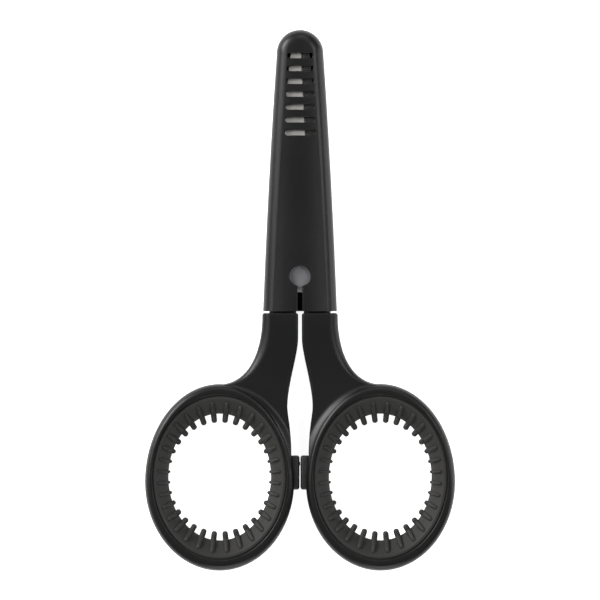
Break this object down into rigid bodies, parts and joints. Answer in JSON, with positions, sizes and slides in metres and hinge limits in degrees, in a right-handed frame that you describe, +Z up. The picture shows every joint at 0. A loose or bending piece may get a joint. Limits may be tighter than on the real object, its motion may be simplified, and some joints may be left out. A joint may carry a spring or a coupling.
{
  "type": "thread snips",
  "caption": "Small thread snips with padded oval finger rings, plain pivot bolt and a vented slip-on cap over the closed blades; the cap pulls off and the blades open.",
  "frame": {"origin": "under the middle of the capped, closed snips, on the surface that they lie on, face up", "axes": "+Y along the closed blades towards the cap's nose, +X to the right of the front face, +Z up out of the front face, along the pivot bolt towards its head"},
  "size_m": [0.0772, 0.1344, 0.0092],
  "materials": {
    "cap_plastic": "fine matte",
    "handle_plastic": "satin",
    "grip_elastomer": "soft matte",
    "stop_elastomer": "soft satin",
    "blade_steel": "satin ground",
    "pivot_steel": "bead-blasted",
    "washer_nylon": "natural nylon"
  },
  "bodies": {
    "pivot": {"pivot_bolt": "pivot_steel", "pivot_nut": "pivot_steel", "front_washer": "washer_nylon", "rear_washer": "washer_nylon"},
    "right_half": {"front_blade": "blade_steel", "right_handle": "handle_plastic", "right_grip": "grip_elastomer", "right_stop": "stop_elastomer"},
    "left_half": {"back_blade": "blade_steel", "left_handle": "handle_plastic", "left_grip": "grip_elastomer", "left_stop": "stop_elastomer"},
    "cap": {"cap": "cap_plastic"}
  },
  "joints": [
    {"name": "cap_slide", "type": "slide", "parent": "pivot", "child": "cap", "axis": [0, 1, 0], "range_m": [0, 0.27]},
    {"name": "right_pivot", "type": "hinge", "parent": "pivot", "child": "right_half", "pos_m": [0, 0.006, 0.0046], "axis": [0, 0, 1], "range_deg": [0, 21]},
    {"name": "left_pivot", "type": "hinge", "parent": "pivot", "child": "left_half", "pos_m": [0, 0.006, 0.0046], "axis": [0, 0, 1], "range_deg": [-21, 0]}
  ],
  "couplings": [
    {"joint": "right_pivot", "follows": "cap_slide", "rad_per_m": 1.3426},
    {"joint": "left_pivot", "follows": "cap_slide", "rad_per_m": -1.3426}
  ]
}
